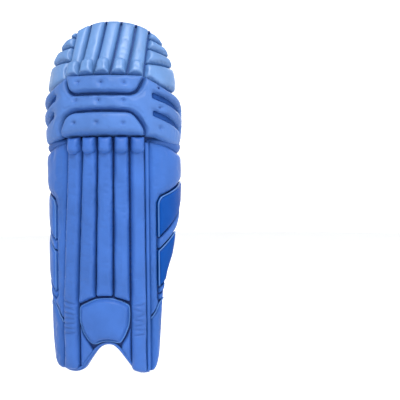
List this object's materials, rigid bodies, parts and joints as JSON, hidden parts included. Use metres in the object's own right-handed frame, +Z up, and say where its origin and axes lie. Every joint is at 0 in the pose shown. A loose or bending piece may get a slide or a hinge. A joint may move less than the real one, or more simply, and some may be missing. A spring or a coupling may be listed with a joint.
{
  "type": "cricket leg pad",
  "caption": "Cricket batting leg pad: rolled shin bolsters, padded knee roll, fluted top flap, side wings, shaped instep and wrap-around hook-and-loop straps",
  "frame": {"origin": "on the leg's axis, level with the pad's lowest edge", "axes": "+Z up the leg, -Y out of the struck front face, +X towards the outer side of the leg"},
  "size_m": [0.2817, 0.1965, 0.7124],
  "materials": {
    "shin_leather": "smooth coated leather, satin",
    "knee_leather": "smooth coated leather, satin",
    "flap_leather": "smooth coated leather, satin",
    "wing_leather": "smooth coated leather, satin",
    "instep_leather": "smooth coated leather, satin",
    "tuft_dark": "dark stitched dimple",
    "towel_lining": "brushed knit lining",
    "foam": "foam padding",
    "plastic_sheet": "matt sheet",
    "cane": "split cane, raw",
    "strap_webbing": "woven webbing",
    "hook_tape": "hook tape",
    "loop_tape": "brushed loop tape"
  },
  "bodies": {
    "shin": {"instep_gussets": "instep_leather", "instep_shield": "instep_leather", "shin_bolster_1_cover": "shin_leather", "shin_bolster_2_cover": "shin_leather", "shin_bolster_3_cover": "shin_leather", "shin_bolster_4_cover": "shin_leather", "shin_bolster_5_cover": "shin_leather", "shin_bolster_foam": "foam", "shin_bolster_puffs": "shin_leather", "shin_cane_slats": "cane", "shin_comfort_rolls": "towel_lining", "shin_foam_core": "foam", "shin_lining": "towel_lining", "shin_stiffener_sheet": "plastic_sheet"},
    "knee_roll": {"knee_cup_cushions": "towel_lining", "knee_foam_core": "foam", "knee_impact_sheet": "plastic_sheet", "knee_lining": "towel_lining", "knee_roll_band": "knee_leather", "knee_roll_lower_panel": "knee_leather", "knee_roll_tufts": "tuft_dark", "knee_roll_upper_panel": "knee_leather"},
    "top_flap": {"flap_bolster_1_cover": "flap_leather", "flap_bolster_2_cover": "flap_leather", "flap_bolster_3_cover": "flap_leather", "flap_bolster_4_cover": "flap_leather", "flap_bolster_5_cover": "flap_leather", "flap_bolster_foam": "foam", "flap_bolster_puffs": "flap_leather", "flap_foam_core": "foam", "flap_inner_flutes": "flap_leather", "flap_lining": "towel_lining", "flap_outer_flutes": "flap_leather"},
    "inner_wing": {"inner_wing_ankle_pad": "wing_leather", "inner_wing_bars": "wing_leather", "inner_wing_calf_panel": "wing_leather", "inner_wing_foam_core": "foam", "inner_wing_lining": "towel_lining", "inner_wing_main_pad": "wing_leather", "inner_wing_shin_panel": "wing_leather", "inner_wing_strap_anchors": "strap_webbing"},
    "outer_wing": {"outer_wing_ankle_pad": "wing_leather", "outer_wing_bars": "wing_leather", "outer_wing_calf_panel": "wing_leather", "outer_wing_foam_core": "foam", "outer_wing_lining": "towel_lining", "outer_wing_loop_patches": "loop_tape", "outer_wing_main_pad": "wing_leather", "outer_wing_shin_panel": "wing_leather"},
    "knee_strap": {"knee_strap_hook_tab": "hook_tape", "knee_strap_webbing": "strap_webbing"},
    "calf_strap": {"calf_strap_hook_tab": "hook_tape", "calf_strap_webbing": "strap_webbing"},
    "ankle_strap": {"ankle_strap_hook_tab": "hook_tape", "ankle_strap_webbing": "strap_webbing"}
  },
  "joints": [
    {"name": "knee_flex", "type": "hinge", "parent": "shin", "child": "knee_roll", "pos_m": [0, -0.066, 0.464], "axis": [-1, 0, 0], "range_deg": [0, 10], "stiffness_Nm_per_rad": 6, "springref_deg": -6.88},
    {"name": "flap_flex", "type": "hinge", "parent": "knee_roll", "child": "top_flap", "pos_m": [0, -0.066, 0.59], "axis": [-1, 0, 0], "range_deg": [0, 8], "stiffness_Nm_per_rad": 3, "springref_deg": -6.88},
    {"name": "inner_wing_flex", "type": "hinge", "parent": "shin", "child": "inner_wing", "pos_m": [-0.08884, -0.06849, 0.305], "axis": [0.0382, -0.0211, 0.999], "range_deg": [0, 10], "stiffness_Nm_per_rad": 1.5, "springref_deg": -5.73},
    {"name": "outer_wing_flex", "type": "hinge", "parent": "shin", "child": "outer_wing", "pos_m": [0.08099, -0.07266, 0.2], "axis": [0, 0, -1], "range_deg": [0, 10], "stiffness_Nm_per_rad": 1.5, "springref_deg": -5.73},
    {"name": "knee_strap_swing", "type": "hinge", "parent": "inner_wing", "child": "knee_strap", "pos_m": [-0.11553, 0.03074, 0.384], "axis": [0, 0, 1], "range_deg": [0, 100]},
    {"name": "calf_strap_swing", "type": "hinge", "parent": "inner_wing", "child": "calf_strap", "pos_m": [-0.11514, 0.02707, 0.322], "axis": [0, 0, 1], "range_deg": [0, 100]},
    {"name": "ankle_strap_swing", "type": "hinge", "parent": "inner_wing", "child": "ankle_strap", "pos_m": [-0.11165, -0.00297, 0.128], "axis": [0, 0, 1], "range_deg": [0, 100]}
  ]
}
